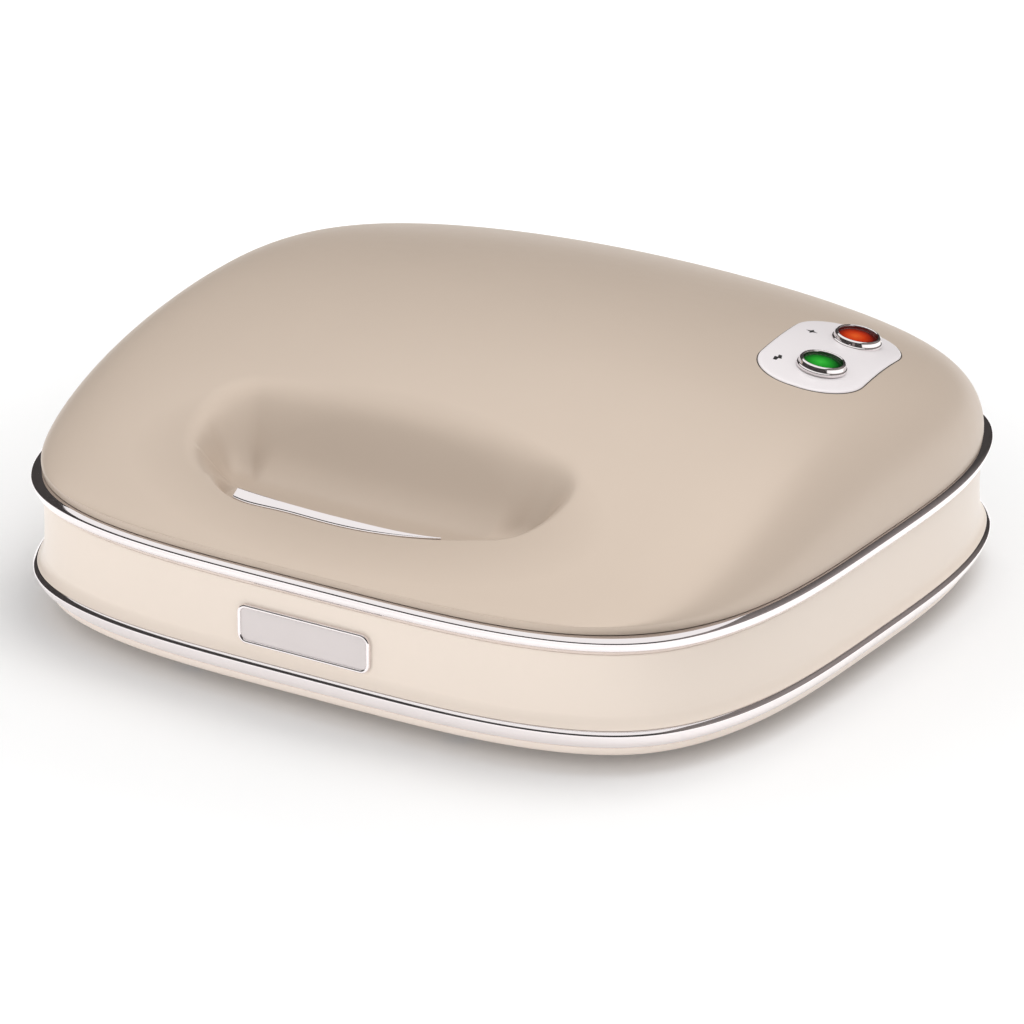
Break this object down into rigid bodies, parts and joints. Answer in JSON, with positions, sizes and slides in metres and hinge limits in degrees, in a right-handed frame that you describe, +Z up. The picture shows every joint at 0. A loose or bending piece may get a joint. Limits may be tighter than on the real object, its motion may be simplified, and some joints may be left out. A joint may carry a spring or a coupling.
{
  "type": "sandwich toaster",
  "caption": "Countertop sandwich toaster with a hinged domed lid, hollow finger pocket with latch strip, signal lamps and triangular cooking plates.",
  "frame": {"origin": "middle of the trim outline in plan, which is within 2 mm of the middle of the whole part, at the level of the table under the feet", "axes": "+Z up, -Y out of the front with the finger pocket, +X to the right seen from the front"},
  "size_m": [0.25, 0.2338, 0.0844],
  "materials": {
    "cream_shell": "smooth cream moulding",
    "cream_band": "smooth cream moulding",
    "taupe_lid": "glossy pearl taupe moulding",
    "bright_chrome": "bright plated trim",
    "badge_satin": "bright rim round a satin field",
    "dark_deck": "heat resistant dark moulding",
    "coated_plate": "dark non-stick coating on a cast plate",
    "heater": "heat-tinted tube",
    "bright_sheet": "plain bright sheet",
    "zinc_steel": "zinc plated",
    "hinge_steel": "dark satin paint",
    "thermo": "matt ceramic",
    "fuse": "plain metal case",
    "block": "pale moulding",
    "lead_red": "silicone sleeve",
    "black_rubber": "soft matt rubber",
    "panel_white": "white moulding",
    "red_clear": "clear red-orange lens",
    "green_clear": "clear green lens",
    "neon": "small glass lamp",
    "spring_steel": "spring wire"
  },
  "bodies": {
    "base": {"base_tray": "cream_shell", "waist_band": "cream_band", "lower_trim_ring": "bright_chrome", "front_badge": "badge_satin", "base_deck": "dark_deck", "lower_plate": "coated_plate", "lower_heating_element": "heater", "lower_heat_reflector": "bright_sheet", "lower_plate_screws": "zinc_steel", "thermostat": "thermo", "thermal_fuse": "fuse", "terminal_block": "block", "base_wiring": "lead_red", "cable_gland": "black_rubber", "foot_front_left": "black_rubber", "foot_front_right": "black_rubber", "foot_rear_left": "black_rubber", "foot_rear_right": "black_rubber", "base_screws": "zinc_steel", "hinge_bracket_left": "hinge_steel", "hinge_bracket_right": "hinge_steel", "hinge_pin_left": "zinc_steel", "hinge_pin_right": "zinc_steel", "bracket_screws": "zinc_steel", "catch_plate": "zinc_steel", "catch_screws": "zinc_steel"},
    "lid": {"lid_shell": "taupe_lid", "upper_trim_ring": "bright_chrome", "lid_frame": "dark_deck", "upper_plate": "coated_plate", "upper_heating_element": "heater", "upper_heat_reflector": "bright_sheet", "upper_plate_screws": "zinc_steel", "lamp_panel": "panel_white", "red_lens": "red_clear", "green_lens": "green_clear", "red_bezel": "bright_chrome", "green_bezel": "bright_chrome", "neon_lamps": "neon", "hinge_arm_left": "hinge_steel", "hinge_arm_right": "hinge_steel", "arm_screws": "zinc_steel", "lid_screws": "zinc_steel", "lid_wiring": "lead_red", "latch_pin": "zinc_steel", "latch_spring": "spring_steel"},
    "latch": {"latch_lever": "bright_chrome"}
  },
  "joints": [
    {"name": "lid_hinge", "type": "hinge", "parent": "base", "child": "lid", "pos_m": [0, 0.1135, 0.028], "axis": [-1, 0, 0], "range_deg": [0, 100]},
    {"name": "latch_release", "type": "hinge", "parent": "lid", "child": "latch", "pos_m": [0, -0.0933, 0.0446], "axis": [-1, 0, 0], "range_deg": [0, 6], "stiffness_Nm_per_rad": 0.6, "springref_deg": -2.86}
  ]
}
